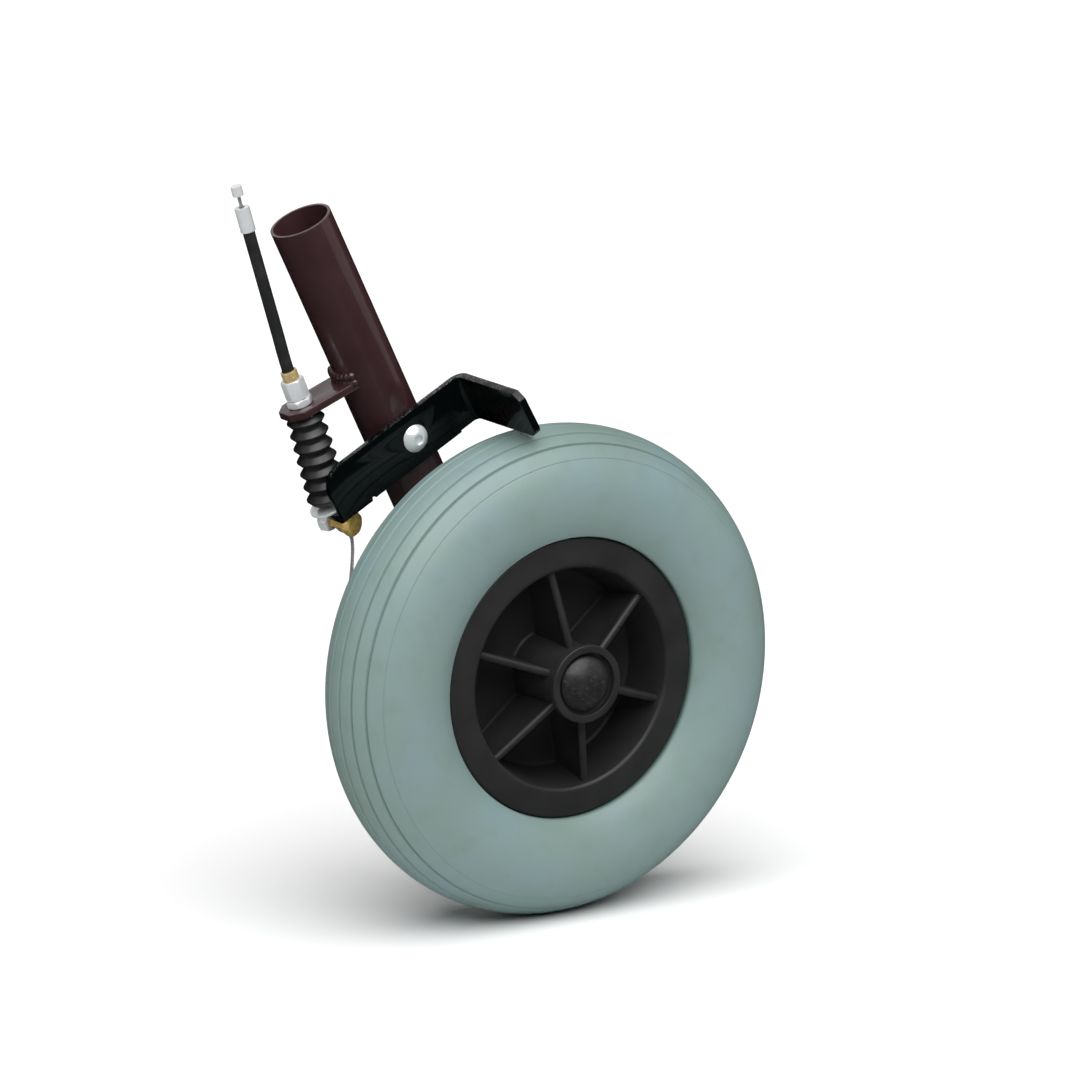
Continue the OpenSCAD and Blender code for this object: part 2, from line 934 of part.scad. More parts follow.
// Domed bolt that the lever turns on, with a hexagon socket
module pivot_bolt() {
    sphere_r = (pivot_head_r * pivot_head_r + pivot_head_h * pivot_head_h) / (2 * pivot_head_h);
    bolt_end = leg_far - lever_front + saddle_depth + pivot_nut_h + thread_run_out;
    color(zinc)
        on_lever()
            rotate([90, 0, 0])
                difference() {
                    union() {
                        intersection() {
                            translate([0, 0, pivot_head_gap + pivot_head_h - sphere_r])
                                sphere(r = sphere_r, $fn = 96);
                            translate([0, 0, pivot_head_gap])
                                cylinder(r = pivot_head_r, h = pivot_head_h);
                        }
                        translate([0, 0, -bolt_end])
                            cylinder(r = pivot_r, h = bolt_end + pivot_head_gap + eps);
                    }
                    translate([0, 0, pivot_head_gap + pivot_head_h - socket_h])
                        cylinder(r = socket_r / cos(30), h = socket_h + eps, $fn = 6);
                }
}

// Plain bush between the bolt and the lever
module pivot_bush() {
    out = pivot_head_gap - touch_gap;
    color(brass)
        on_lever()
            rotate([-90, 0, 0])
                translate([0, 0, -out])
                    ring(bush_r, bush_bore_r, out + lever_t + lever_gap - touch_gap);
}

// Washer hollowed to sit on the tube's far side, under the pivot's nut
module pivot_saddle_washer() {
    color(plastic)
        difference() {
            on_lever()
                rotate([-90, 0, 0])
                    translate([0, 0, leg_far - lever_front - saddle_drop])
                        ring(pivot_washer_r, pivot_hole_r, saddle_depth + saddle_drop);
            on_leg()
                cylinder(r = leg_r + touch_gap, h = leg_above_axle);
        }
}

// Locking nut on the pivot bolt
module pivot_nut() {
    color(zinc)
        on_lever()
            rotate([-90, 0, 0])
                translate([0, 0, leg_far - lever_front + saddle_depth + touch_gap])
                    locking_nut(pivot_nut_af, pivot_nut_h, pivot_r + fixed_gap);
}

// Washer on the flange that carries the spring and the boot
module spring_seat() {
    color(zinc)
        on_lever()
            translate([wire_at_s, wire_at_y, flange_high + touch_gap])
                ring(seat_r, seat_hole_r, seat_t);
}

// Compression spring that lifts the shoe off the tyre
module return_spring() {
    route = [
        for (i = [0 : spring_turns * spring_rings])
            let (
                turn = 360 * i / spring_rings,
                level = spring_low + (spring_high - spring_low) * i / (spring_turns * spring_rings)
            )
            [spring_r * cos(turn), spring_r * sin(turn), level]
    ];
    color(steel)
        on_span()
            swept(route, spring_wire_r, spring_sides);
}

// Radius of the boot's outline at one of its folds
function fold_r(i) =
    let (ridge = boot_r_low + (boot_r_top - boot_r_low) * i / (2 * boot_ridges))
    i % 2 == 1 ? ridge : ridge - boot_valley;

// Ribbed rubber boot round the spring, its foot cut to the lean of the seat
module boot() {
    folds = [0 : 2 * boot_ridges];
    outside = [for (i = folds) [fold_r(i), boot_low + boot_fold * i]];
    inside = [for (i = folds) [fold_r(2 * boot_ridges - i) - boot_wall, boot_high - boot_fold * i]];
    color(black)
        difference() {
            on_span()
                rotate_extrude()
                    polygon(concat(outside, inside));
            on_lever()
                translate([wire_at_s, wire_at_y, flange_low])
                    cylinder(r = 2 * seat_r, h = lever_t + seat_t + running_gap);
        }
}

// Clamp bolt that grips the brake wire under the flange
module anchor_bolt() {
    color(brass)
        difference() {
            on_anchor_bolt() {
                translate([0, 0, anchor_head_at])
                    rotate([0, 0, anchor_head_turn])
                        hexagon(anchor_head_af, anchor_head_h);
                translate([0, 0, anchor_body_at])
                    cylinder(r = anchor_body_r, h = anchor_head_at - anchor_body_at + eps);
                translate([0, 0, anchor_end])
                    cylinder(r = anchor_thread_r, h = anchor_body_at - anchor_end + eps);
            }
            on_span()
                translate([0, 0, -anchor_drop - anchor_hole_l / 2])
                    cylinder(r = anchor_hole_r, h = anchor_hole_l);
        }
}

// Nut that squeezes the wire on the clamp bolt
module anchor_nut() {
    color(zinc)
        on_anchor_bolt()
            translate([0, 0, anchor_nut_at])
                rotate([0, 0, anchor_nut_turn])
                    hexagon_nut(anchor_nut_af, anchor_nut_h, anchor_thread_r + fixed_gap);
}

// Free end of the brake wire below the clamp
module wire_tail() {
    color(steel)
        at_anchor()
            swept(tail_route, wire_d / 2, 8);
}

// Crimped cap on the end of the wire
module wire_end_cap() {
    color(zinc)
        at_anchor()
            translate(tail_route[len(tail_route) - 1])
                rotate([tail_cap_lean[1], -tail_cap_lean[0], 0])
                    translate([0, 0, tail_cap_over - tail_cap_l])
                        difference() {
                            cylinder(r = tail_cap_r, h = tail_cap_l);
                            translate([0, 0, tail_cap_l - tail_cap_grip])
                                cylinder(r = wire_d / 2 + running_gap, h = tail_cap_grip + eps);
                        }
}

// Hollow adjusting screw with a long hexagon head
module adjuster_bolt() {
    color(zinc)
        on_tab()
            difference() {
                union() {
                    translate([0, 0, adjuster_head_at])
                        hexagon(adjuster_head_af, adjuster_head_h);
                    translate([0, 0, adjuster_low])
                        cylinder(r = adjuster_r, h = adjuster_head_at - adjuster_low + eps);
                }
                translate([0, 0, adjuster_low - eps])
                    cylinder(r = adjuster_bore_r, h = adjuster_head_at + adjuster_head_h - adjuster_low);
                translate([0, 0, ferrule_at])
                    cylinder(r = ferrule_seat_r, h = ferrule_seat_depth + eps);
            }
}

// Nut that locks the adjusting screw on the tab
module jam_nut() {
    color(zinc)
        on_tab()
            translate([0, 0, tab_t / 2 + touch_gap])
                rotate([0, 0, jam_nut_turn])
                    hexagon_nut(jam_nut_af, jam_nut_h, thread_r);
}

// Nut fixed under the tab, which the adjusting screw turns in
module adjuster_nut() {
    color(zinc)
        on_tab()
            translate([0, 0, -tab_t / 2 - adjuster_nut_h - touch_gap])
                hexagon_nut(adjuster_nut_af, adjuster_nut_h, thread_r);
}

// Brass end cap of the cable housing, standing in the adjusting screw
module housing_ferrule() {
    color(brass)
        on_tab()
            translate([0, 0, ferrule_at + running_gap])
                difference() {
                    union() {
                        cylinder(r = ferrule_r, h = ferrule_l);
                        for (i = [0 : ferrule_ridges - 1])
                            translate([0, 0, ferrule_ridges_at + ferrule_ridge_step * i])
                                cylinder(r = ferrule_ridge_r, h = ferrule_ridge_step * ferrule_ridge_share);
                    }
                    translate([0, 0, -eps])
                        cylinder(r = adjuster_bore_r, h = ferrule_l);
                    translate([0, 0, ferrule_floor])
                        cylinder(r = ferrule_bore_r, h = ferrule_l);
                }
}

// Black outer housing of the brake cable, bored for the wire
module cable_housing() {
    color(black)
        difference() {
            swept(housing_route, housing_d / 2, 12);
            swept(
                concat(
                    [2 * housing_route[0] - housing_route[1]],
                    housing_route,
                    [2 * housing_route[len(housing_route) - 1] - housing_route[len(housing_route) - 2]]
                ),
                liner_r,
                8
            );
        }
}

// Places children at the housing's upper end, z up along the cable
module on_cable_end() {
    translate(housing_route[len(housing_route) - 1])
        rotate([0, -cable_lean, 0])
            children();
}

// Metal end cap of the housing that seats in the brake handle
module upper_ferrule() {
    color(zinc)
        on_cable_end()
            translate([0, 0, -upper_ferrule_socket])
                difference() {
                    cylinder(r = upper_ferrule_r, h = upper_ferrule_l);
                    translate([0, 0, -eps])
                        cylinder(r = ferrule_bore_r, h = upper_ferrule_socket + eps);
                    cylinder(r = liner_r, h = upper_ferrule_l + eps);
                }
}

// Steel brake wire from the anchor, through the boot and the housing, to the nipple
module inner_wire() {
    top = housing_route[len(housing_route) - 1];
    reach = upper_ferrule_l - upper_ferrule_socket + nipple_gap;
    low = wheel_at + flange_cross - anchor_drop * span / span_l;
    route = concat(
        [low, low + 0.5 * (wheel_at + tab_from_axle - low), wheel_at + tab_from_axle],
        housing_route,
        [top + reach * [-sin(cable_lean), 0, cos(cable_lean)]]
    );
    color(steel)
        swept(route, wire_d / 2, 8);
}

// Cast nipple on the wire's upper end
module wire_nipple() {
    color(zinc)
        on_cable_end()
            translate([0, 0, upper_ferrule_l - upper_ferrule_socket + nipple_gap])
                cylinder(r = nipple_r, h = nipple_h);
}

leg_tube();
leg_end_plug();
cable_tab();
weld_beads();
tyre();
hub();
hub_cap();
bearing_outer_rings();
bearing_inner_rings();
bearing_balls();
bearing_shields();
bearing_spacer();
axle_bolt();
axle_head_washer();
axle_spacer();
axle_saddle_washer();
axle_nut();
brake_lever();
pivot_bolt();
pivot_bush();
pivot_saddle_washer();
pivot_nut();
spring_seat();
return_spring();
boot();
anchor_bolt();
anchor_nut();
wire_tail();
wire_end_cap();
adjuster_bolt();
jam_nut();
adjuster_nut();
housing_ferrule();
cable_housing();
upper_ferrule();
inner_wire();
wire_nipple();
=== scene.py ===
import json
from math import acos, asin, ceil, cos, degrees, hypot, pi, radians, sin, tau

import bmesh
import bpy
from mathutils import Matrix, Vector


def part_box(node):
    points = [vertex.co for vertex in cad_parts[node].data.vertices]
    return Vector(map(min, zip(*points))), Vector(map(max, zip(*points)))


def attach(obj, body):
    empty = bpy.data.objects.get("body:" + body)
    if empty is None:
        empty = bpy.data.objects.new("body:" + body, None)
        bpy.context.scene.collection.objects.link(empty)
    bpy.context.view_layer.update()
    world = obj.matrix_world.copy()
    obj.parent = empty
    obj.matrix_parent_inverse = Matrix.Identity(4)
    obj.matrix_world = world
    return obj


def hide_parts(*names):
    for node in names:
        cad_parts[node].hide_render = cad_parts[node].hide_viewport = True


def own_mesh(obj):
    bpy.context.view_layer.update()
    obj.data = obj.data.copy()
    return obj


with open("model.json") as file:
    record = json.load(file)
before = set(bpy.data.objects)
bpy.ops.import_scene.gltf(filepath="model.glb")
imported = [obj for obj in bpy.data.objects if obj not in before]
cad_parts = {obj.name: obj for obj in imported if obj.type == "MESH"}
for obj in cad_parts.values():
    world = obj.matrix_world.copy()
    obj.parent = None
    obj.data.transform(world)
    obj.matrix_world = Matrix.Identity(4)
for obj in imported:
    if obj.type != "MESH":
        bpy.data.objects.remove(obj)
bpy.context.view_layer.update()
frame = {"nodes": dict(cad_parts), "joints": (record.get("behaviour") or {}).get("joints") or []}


# ---------------------------------------------------------------------------------------------
# Camera. It looks at the wheel's outer face from the left and a little above, through a long
# lens, so that the wheel shows its tread on the left and its hub on the right.
camera_data = bpy.data.cameras.new("camera")
camera_data.sensor_width = 36
camera_data.lens = 199.9
camera_data.clip_end = 50
camera = bpy.data.objects.new("camera", camera_data)
camera.location = (-1.17133, -1.99537, 0.42303)
camera.rotation_euler = (radians(90 - 13.419), 0, radians(-32.738))
bpy.context.scene.collection.objects.link(camera)
bpy.context.scene.camera = camera


# ---------------------------------------------------------------------------------------------
# Cable housing. A brake cable's outer casing of black PVC over a steel coil, 5 mm thick, held
# taut from the adjusting screw up to the brake handle, where a metal end cap closes it.
MM = 0.001


class Value:
    """A number, colour or direction on its way through a material. It multiplies like a number."""

    def __init__(self, finish, socket):
        self.finish = finish
        self.socket = socket

    def __mul__(self, other):
        return self.finish.add("Math", {"operation": "MULTIPLY"}, [self, other])

    __rmul__ = __mul__


class Finish:
    """A material in the making. Its constants sit on the shader's own sockets."""

    def __init__(self, name, constants):
        self.material = bpy.data.materials.new(name)
        self.material.use_nodes = True
        self.tree = self.material.node_tree
        self.shader = self.tree.nodes["Principled BSDF"]
        self.feed(self.shader, constants)

    def feed(self, node, values):
        """Sets or links a node's sockets, by name or in order."""
        pairs = values.items() if isinstance(values, dict) else enumerate(values)
        for key, value in pairs:
            if isinstance(value, Value):
                self.tree.links.new(value.socket, node.inputs[key])
            else:
                node.inputs[key].default_value = value

    def add(self, kind, settings, values, output=0):
        """Makes any node: its settings first, then its sockets."""
        node = self.tree.nodes.new("ShaderNode" + kind)
        for name, setting in settings.items():
            if name == "stops":
                ramp = node.color_ramp.elements
                for _ in setting[2:]:
                    ramp.new(0.5)
                for element, (position, colour) in zip(ramp, setting):
                    element.position = position
                    element.color = (*colour, 1)
            else:
                setattr(node, name, setting)
        self.feed(node, values)
        return Value(self, node.outputs[output])

    def noise(self, size, detail=3, stretch=(1, 1, 1)):
        """Cloudy noise whose blotches are about this many millimetres across."""
        place = self.add("TexCoord", {}, {}, "Object")
        scale = [share / (size * MM) for share in stretch]
        moved = self.add("Mapping", {}, {"Vector": place, "Scale": scale})
        return self.add("TexNoise", {}, {"Vector": moved, "Scale": 1, "Detail": detail})

    def window(self, value, low, high, to_low=0, to_high=1):
        """Spreads the stretch of a value between low and high over a new stretch."""
        return self.add("MapRange", {}, [value, low, high, to_low, to_high])

    def blend(self, mask, first, second):
        """One colour where the mask is 0 and the other where it is 1."""
        sides = {0: mask, 6: first, 7: second}
        for side in (6, 7):
            if not isinstance(sides[side], Value):
                sides[side] = (*sides[side], 1)
        return self.add("Mix", {"data_type": "RGBA"}, sides, 2)

    def relief(self, height, depth, strength):
        """A bump this many millimetres deep."""
        values = {"Height": height, "Distance": depth * MM, "Strength": strength}
        return self.add("Bump", {}, values, "Normal")


cable_plastic = Finish("cable_plastic", {"Coat Weight": 0.25, "Coat Roughness": 0.3})
drawn = cable_plastic.noise(0.35, 2, (1, 1, 0.06))
dust = cable_plastic.window(cable_plastic.noise(6), 0.45, 0.75)
cable_plastic.feed(cable_plastic.shader, {
    "Base Color": cable_plastic.blend(dust * 0.4, (0.016, 0.017, 0.017), (0.05, 0.05, 0.05)),
    "Roughness": cable_plastic.window(drawn, 0.3, 0.7, 0.38, 0.55),
    "Normal": cable_plastic.relief(drawn, 0.03, 0.5),
})


def dress(obj, finish):
    """Gives every slot of a piece, or of a node carried over, the same finish."""
    if not obj.material_slots:
        obj.data.materials.append(finish.material)
    for material_slot in obj.material_slots:
        material_slot.material = finish.material


def fit(obj, body, finish, slot, *nodes):
    """Dresses a piece, puts it on its body and hides the CAD nodes it stands for."""
    dress(obj, finish)
    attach(obj, body)
    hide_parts(*nodes)


housing_d = 5
housing_route = [
    (-4.5, 0, -63.4), (-5.4, 0, -61.1), (-6.3, 0, -58.9), (-7.6, 0, -55), (-9.1, 0, -50),
    (-10.5, 0, -45), (-12, 0, -40), (-13.5, 0, -35), (-15, 0, -30), (-16.5, 0, -25), (-18, 0, -20),
    (-19.5, 0, -15), (-21, 0, -10), (-22.5, 0, -5), (-23.7, 0, -1), (-24.9, 0, 3),
]
housing_points = [Vector(point) * MM for point in housing_route]


def tube_curve(name, routes, radius, roundness):
    """A curve with one open, rounded line for each route."""
    data = bpy.data.curves.new(name, "CURVE")
    data.dimensions = "3D"
    data.bevel_depth = radius
    data.bevel_resolution = roundness
    data.use_fill_caps = True
    for route in routes:
        line = data.splines.new("POLY")
        line.points.add(len(route) - 1)
        for point, place in zip(line.points, route):
            point.co = (*place, 1)
        line.use_smooth = True
    obj = bpy.data.objects.new(name, data)
    bpy.context.scene.collection.objects.link(obj)
    return obj


housing = tube_curve("cable_casing", [housing_points], housing_d / 2 * MM, 5)
fit(housing, "cable_outer", cable_plastic, "cable_plastic", "cable_housing")


# ---------------------------------------------------------------------------------------------
# Brake wire. Seven steel strands twisted together. It runs from the clamp under the lever, up
# through the boot and the housing, and ends in a cast nipple above the housing's metal cap.
wire_steel = Finish("wire_steel", {"Metallic": 0.6})
smear = wire_steel.noise(1.2)
wire_steel.feed(wire_steel.shader, {
    "Base Color": wire_steel.blend(smear, (0.34, 0.35, 0.36), (0.62, 0.63, 0.64)),
    "Roughness": wire_steel.window(smear, 0.3, 0.7, 0.28, 0.5),
})
zinc_plate = Finish("zinc_plate", {"Metallic": 0.35, "Coat Weight": 1, "Coat Roughness": 0.04})
bloom = zinc_plate.noise(4, 2)
pits = zinc_plate.noise(0.6, 2)
zinc_plate.feed(zinc_plate.shader, {
    "Base Color": zinc_plate.blend(bloom, (0.80, 0.85, 0.90), (0.95, 0.96, 0.95)),
    "Roughness": zinc_plate.window(bloom, 0.3, 0.7, 0.14, 0.24),
    "Normal": zinc_plate.relief(pits, 0.02, 0.15),
})
same_point = 0.002 * MM
strand_r, strand_lay, strand_count = 0.25, 9, 6


def settle(name, bm, sharp=38):
    """Turns a finished bmesh into an object with smooth faces and crisp edges."""
    mesh = bpy.data.meshes.new(name)
    bm.to_mesh(mesh)
    bm.free()
    mesh.shade_smooth()
    mesh.set_sharp_from_angle(angle=radians(sharp))
    obj = bpy.data.objects.new(name, mesh)
    bpy.context.scene.collection.objects.link(obj)
    return obj


def smooth_route(points, gap):
    """A route's points joined by a smooth line, with a new point about every gap."""
    dense = []
    for i in range(len(points) - 1):
        before, start = points[max(i - 1, 0)], points[i]
        end, after = points[i + 1], points[min(i + 2, len(points) - 1)]
        count = max(2, ceil((end - start).length / gap))
        for step in range(count):
            t = step / count
            pull = (end - before) * 0.5 * (t - 2 * t ** 2 + t ** 3)
            push = (after - start) * 0.5 * (t ** 3 - t ** 2)
            share = 3 * t ** 2 - 2 * t ** 3
            dense.append(start * (1 - share) + end * share + pull + push)
    return dense + [points[-1]]


def stranded_wire(name, points):
    """A straight core with six strands wound round it, as one mesh."""
    core = smooth_route(points, gap=0.5 * MM)
    routes = [core] + [[] for _ in range(strand_count)]
    travelled = 0
    for i, place in enumerate(core):
        along = (core[min(i + 1, len(core) - 1)] - core[max(i - 1, 0)]).normalized()
        side = along.cross(Vector((0, 1, 0))).normalized()
        across = along.cross(side)
        if i:
            travelled += (place - core[i - 1]).length
        for strand in range(strand_count):
            turn = tau * (travelled / (strand_lay * MM) + strand / strand_count)
            offset = 2 * strand_r * MM * (side * cos(turn) + across * sin(turn))
            routes[strand + 1].append(place + offset)
    curve = tube_curve(name + "_line", routes, strand_r * MM, 2)
    bm = bmesh.new()
    bm.from_mesh(bpy.data.meshes.new_from_object(curve))
    bpy.data.objects.remove(curve)
    bmesh.ops.remove_doubles(bm, verts=bm.verts[:], dist=same_point)
    bmesh.ops.recalc_face_normals(bm, faces=bm.faces[:])
    return settle(name, bm)


joints = {joint["name"]: joint for joint in frame["joints"]}
pull_line = Vector(joints["wire_pull"]["axis"])
tab_hole = Vector(joints["adjuster_turn"]["pos_m"])
# From the tab down the wire to the lever's flange, and on to the clamp.
span_l, clamp_drop = 43.22, 6.8
wire_foot = tab_hole - pull_line * (span_l + clamp_drop) * MM
nipple_low, nipple_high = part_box("wire_nipple")
wire_route = [wire_foot, (wire_foot + tab_hole) / 2, tab_hole, *housing_points]
inner_wire = stranded_wire("brake_wire", wire_route + [(nipple_low + nipple_high) / 2])
fit(inner_wire, "wire", wire_steel, "wire_steel", "inner_wire")
dress(frame["nodes"]["wire_nipple"], zinc_plate)
dress(frame["nodes"]["upper_ferrule"], zinc_plate)


# ---------------------------------------------------------------------------------------------
# Studio. A wide white floor under one very soft lamp, and three dim panels around the wheel for
# the glints on the metal. The white room and floor are left out of reflections, so that black
# paint stays black.
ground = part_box("tyre")[0].z
wheel_middle = Vector(joints["wheel_spin"]["pos_m"])
bm = bmesh.new()
bmesh.ops.create_grid(bm, x_segments=1, y_segments=1, size=30)
bm.transform(Matrix.Translation((0, 0, ground)))
floor = settle("floor", bm)
floor.visible_glossy = False
white_floor = Finish("white_floor", {"Roughness": 0.9, "Specular IOR Level": 0.1})
grain = white_floor.noise(400)
white_floor.feed(white_floor.shader, {
    "Base Color": white_floor.blend(grain, (0.92, 0.92, 0.92), (0.94, 0.94, 0.94)),
})
dress(floor, white_floor)

scene = bpy.context.scene
scene.view_settings.view_transform = "Standard"
scene.world = scene.world or bpy.data.worlds.new("room")
scene.world.use_nodes = True
room = scene.world.node_tree.nodes["Background"]
room.inputs["Color"].default_value = (1, 1, 1, 1)
room.inputs["Strength"].default_value = 1
scene.world.cycles_visibility.diffuse = False
scene.world.cycles_visibility.glossy = False


def soft_lamp(name, kind, place, power, **settings):
    """A lamp that faces the wheel."""
    lamp = bpy.data.lights.new(name, kind)
    lamp.energy = power
    for setting, value in settings.items():
        setattr(lamp, setting, value)
    obj = bpy.data.objects.new(name, lamp)
    obj.location = place
    obj.rotation_euler = (wheel_middle - Vector(place)).to_track_quat("-Z", "Y").to_euler()
    scene.collection.objects.link(obj)


soft_lamp("lamp_above", "SUN", (-0.45, -1.25, 2.6), 4.05, angle=radians(75))
soft_lamp("panel_left", "AREA", (-2.4, 0.2, 0.4), 4, size=1.3)
soft_lamp("panel_right", "AREA", (2.2, -1.2, 1), 5, size=2.2)
soft_lamp("panel_behind", "AREA", (0.63, 2.06, 1.17), 5, size=1.6)


# ---------------------------------------------------------------------------------------------
# Leg tube. A 25.4 mm steel tube in glossy burgundy enamel, cut square, with its seat for the
# frame's tube reamed in the top, and a black plastic plug pushed in its foot.
looks_up = 0.4


def joined(node):
    """A copy of a CAD node's mesh with its loose facets joined."""
    bm = bmesh.new()
    bm.from_mesh(frame["nodes"][node].data)
    bmesh.ops.remove_doubles(bm, verts=bm.verts[:], dist=same_point)
    return bm


def softened(name, node, width, thin=0):
    """A CAD node with its sharp edges rounded. On a plate, whose sheared edges are no wider than
    its thickness, those that look up are marked as worn."""
    bm = joined(node)
    bmesh.ops.dissolve_limit(bm, angle_limit=radians(1), verts=bm.verts[:], edges=bm.edges[:])
    worn = bm.faces.layers.float.new("worn")
    for face in bm.faces:
        if face.normal.z > looks_up:
            face[worn] = 2 * face.calc_area() / face.calc_perimeter() < thin * MM
    edges = [edge for edge in bm.edges if edge.calc_face_angle(0) > radians(30)]
    rounds = bmesh.ops.bevel(
        bm, geom=edges, offset=width * MM, segments=3, profile=0.5, affect="EDGES",
        material=-1, clamp_overlap=True, offset_type="OFFSET",
    )
    for face in rounds["faces"]:
        face.normal_update()
        face[worn] = thin > 0 and face.normal.z > looks_up
    return settle(name, bm)


frame_paint = Finish("frame_paint", {
    "Coat Weight": 1, "Coat Roughness": 0.06, "Specular IOR Level": 0.7,
})
mottle = frame_paint.noise(14, 4)
peel = frame_paint.noise(1.4, 2)
frame_paint.feed(frame_paint.shader, {
    "Base Color": frame_paint.blend(mottle, (0.032, 0.0055, 0.0080), (0.046, 0.0090, 0.0130)),
    "Roughness": frame_paint.window(mottle, 0.3, 0.7, 0.48, 0.6),
    "Normal": frame_paint.relief(peel, 0.03, 0.25),
})
leg_tube = softened("leg_tube_steel", "leg_tube", 0.25)
fit(leg_tube, "leg", frame_paint, "frame_paint", "leg_tube")

black_plastic = Finish("black_plastic", {})
skin = black_plastic.noise(0.5, 3)
scuff = black_plastic.window(black_plastic.noise(9, 4), 0.5, 0.8)
black_plastic.feed(black_plastic.shader, {
    "Base Color": black_plastic.blend(scuff * 0.5, (0.013, 0.013, 0.014), (0.045, 0.045, 0.045)),
    "Roughness": black_plastic.window(skin, 0.3, 0.7, 0.42, 0.58),
    "Normal": black_plastic.relief(skin, 0.03, 0.4),
})
end_plug = softened("leg_plug", "leg_end_plug", 0.3)
fit(end_plug, "leg", black_plastic, "black_plastic", "leg_end_plug")


# ---------------------------------------------------------------------------------------------
# Cable tab. A steel plate with cropped corners, welded to the tube and enamelled with it. The
# welds are short lumpy beads above and below the plate, with the enamel pooled over them.
tab = softened("cable_tab_plate", "cable_tab", 0.35)
fit(tab, "leg", frame_paint, "frame_paint", "cable_tab")

welds = settle("tab_welds", joined("weld_beads"), 180)
fit(welds, "leg", frame_paint, "frame_paint", "weld_beads")
melt = welds.modifiers.new("melt", "REMESH")
melt.mode = "VOXEL"
melt.voxel_size = 0.28 * MM
melt.use_smooth_shade = True
flow = welds.modifiers.new("flow", "SMOOTH")
flow.iterations = 5


# ---------------------------------------------------------------------------------------------
# Hub. One moulding of black nylon: two rim flanges, a dished web, a boss for the bearings, and
# six ribs on each side whose free edges are rolled to a round bead.
def lathe(name, outline, place, steps, closed=True):
    """A solid turned from an outline of radius, height and, where a corner is rounded, its size."""
    bm = bmesh.new()
    corners = [bm.verts.new((point[0] * MM, 0, point[1] * MM)) for point in outline]
    ends = corners[1:] + corners[:1] if closed else corners[1:]
    for start, end in zip(corners, ends):
        bm.edges.new((start, end))
    for size in sorted({point[2] for point in outline if len(point) == 3}):
        chosen = [corner for corner, point in zip(corners, outline) if point[2:] == (size,)]
        bmesh.ops.bevel(
            bm, geom=chosen, offset=size * MM, segments=5, profile=0.5, affect="VERTICES",
            material=-1,
        )
    bmesh.ops.spin(
        bm, geom=bm.verts[:] + bm.edges[:], cent=(0, 0, 0), axis=(0, 0, 1),
        angle=tau, steps=steps, use_merge=True,
    )
    bmesh.ops.remove_doubles(bm, verts=bm.verts[:], dist=same_point)
    bmesh.ops.recalc_face_normals(bm, faces=bm.faces[:])
    bm.transform(place)
    return settle(name, bm)


def facing(point, axis):
    """The place of a shape that stands on a point and rises along an axis."""
    turn = Vector(axis).to_track_quat("Z", "Y").to_matrix().to_4x4()
    return Matrix.Translation(point) @ turn


on_axle = facing(wheel_middle, (0, -1, 0))
rim_r, rim_half, flange_t, flange_h = 57.2, 16.6, 3.6, 7.2
bed_r, seat_half = rim_r - flange_h, rim_half - flange_t
dish_mouth_r, dish_rise = 46.2, 0.9
barrel_mouth_r, barrel_root_r, mouth_front, mouth_back = 44.4, 40.4, 2.6, 2
web_front, web_back = -4, -7
boss_r, boss_flare, hub_half = 13.8, 1.2, 28.3
collar_r, collar_l, collar_slope = 15.8, 3.4, 0.8
collar_bore_r, collar_bore_depth = 12.8, 2.6
bearing_r, bearing_face, bearing_w, core_r = 11, 18.5, 7, 9.4
collar_floor, boss_end = hub_half - collar_bore_depth, hub_half - collar_l
bearing_back = bearing_face - bearing_w
rib_half, rib_bead_r, rib_foot, rib_overlap = 1.2, 1.6, 1.3, 0.5
rib_count, rib_first = 6, 40.4

hub_plastic = Finish("hub_plastic", {"Specular IOR Level": 0.45})
pebble = hub_plastic.noise(0.45, 3)
flow_marks = hub_plastic.noise(16, 4)
hub_plastic.feed(hub_plastic.shader, {
    "Base Color": hub_plastic.blend(flow_marks, (0.014, 0.014, 0.0145), (0.027, 0.0265, 0.027)),
    "Roughness": hub_plastic.window(flow_marks, 0.3, 0.7, 0.42, 0.56),
    "Normal": hub_plastic.relief(pebble, 0.025, 0.35),
})
hub_outline = [
    (collar_bore_r, -hub_half, 0.3), (collar_r, -hub_half, 0.5), (collar_r, -boss_end, 0.4),
    (boss_r, collar_slope - boss_end, 0.4), (boss_r + boss_flare, web_back, 1.5),
    (barrel_root_r, web_back, 1.5), (barrel_mouth_r, mouth_back - rim_half),
    (dish_mouth_r, -rim_half, 0.5), (rim_r, -rim_half, 1.4), (rim_r, -seat_half, 0.3),
    (bed_r, -seat_half, 0.3), (bed_r, seat_half, 0.3), (rim_r, seat_half, 0.3),
    (rim_r, rim_half, 1.4), (dish_mouth_r, rim_half + dish_rise, 0.5),
    (barrel_mouth_r + 0.6, rim_half, 0.4), (barrel_mouth_r, rim_half - mouth_front),
    (barrel_root_r, web_front, 1.5), (boss_r + boss_flare, web_front, 1.5),
    (boss_r, boss_end - collar_slope, 0.4), (collar_r, boss_end, 0.4), (collar_r, hub_half, 0.5),
    (collar_bore_r, hub_half, 0.3), (collar_bore_r, collar_floor, 0.3),
    (bearing_r, collar_floor, 0.2), (bearing_r, bearing_back), (core_r, bearing_back),
    (core_r, -bearing_back), (bearing_r, -bearing_back), (bearing_r, -collar_floor, 0.2),
    (collar_bore_r, -collar_floor, 0.3),
]


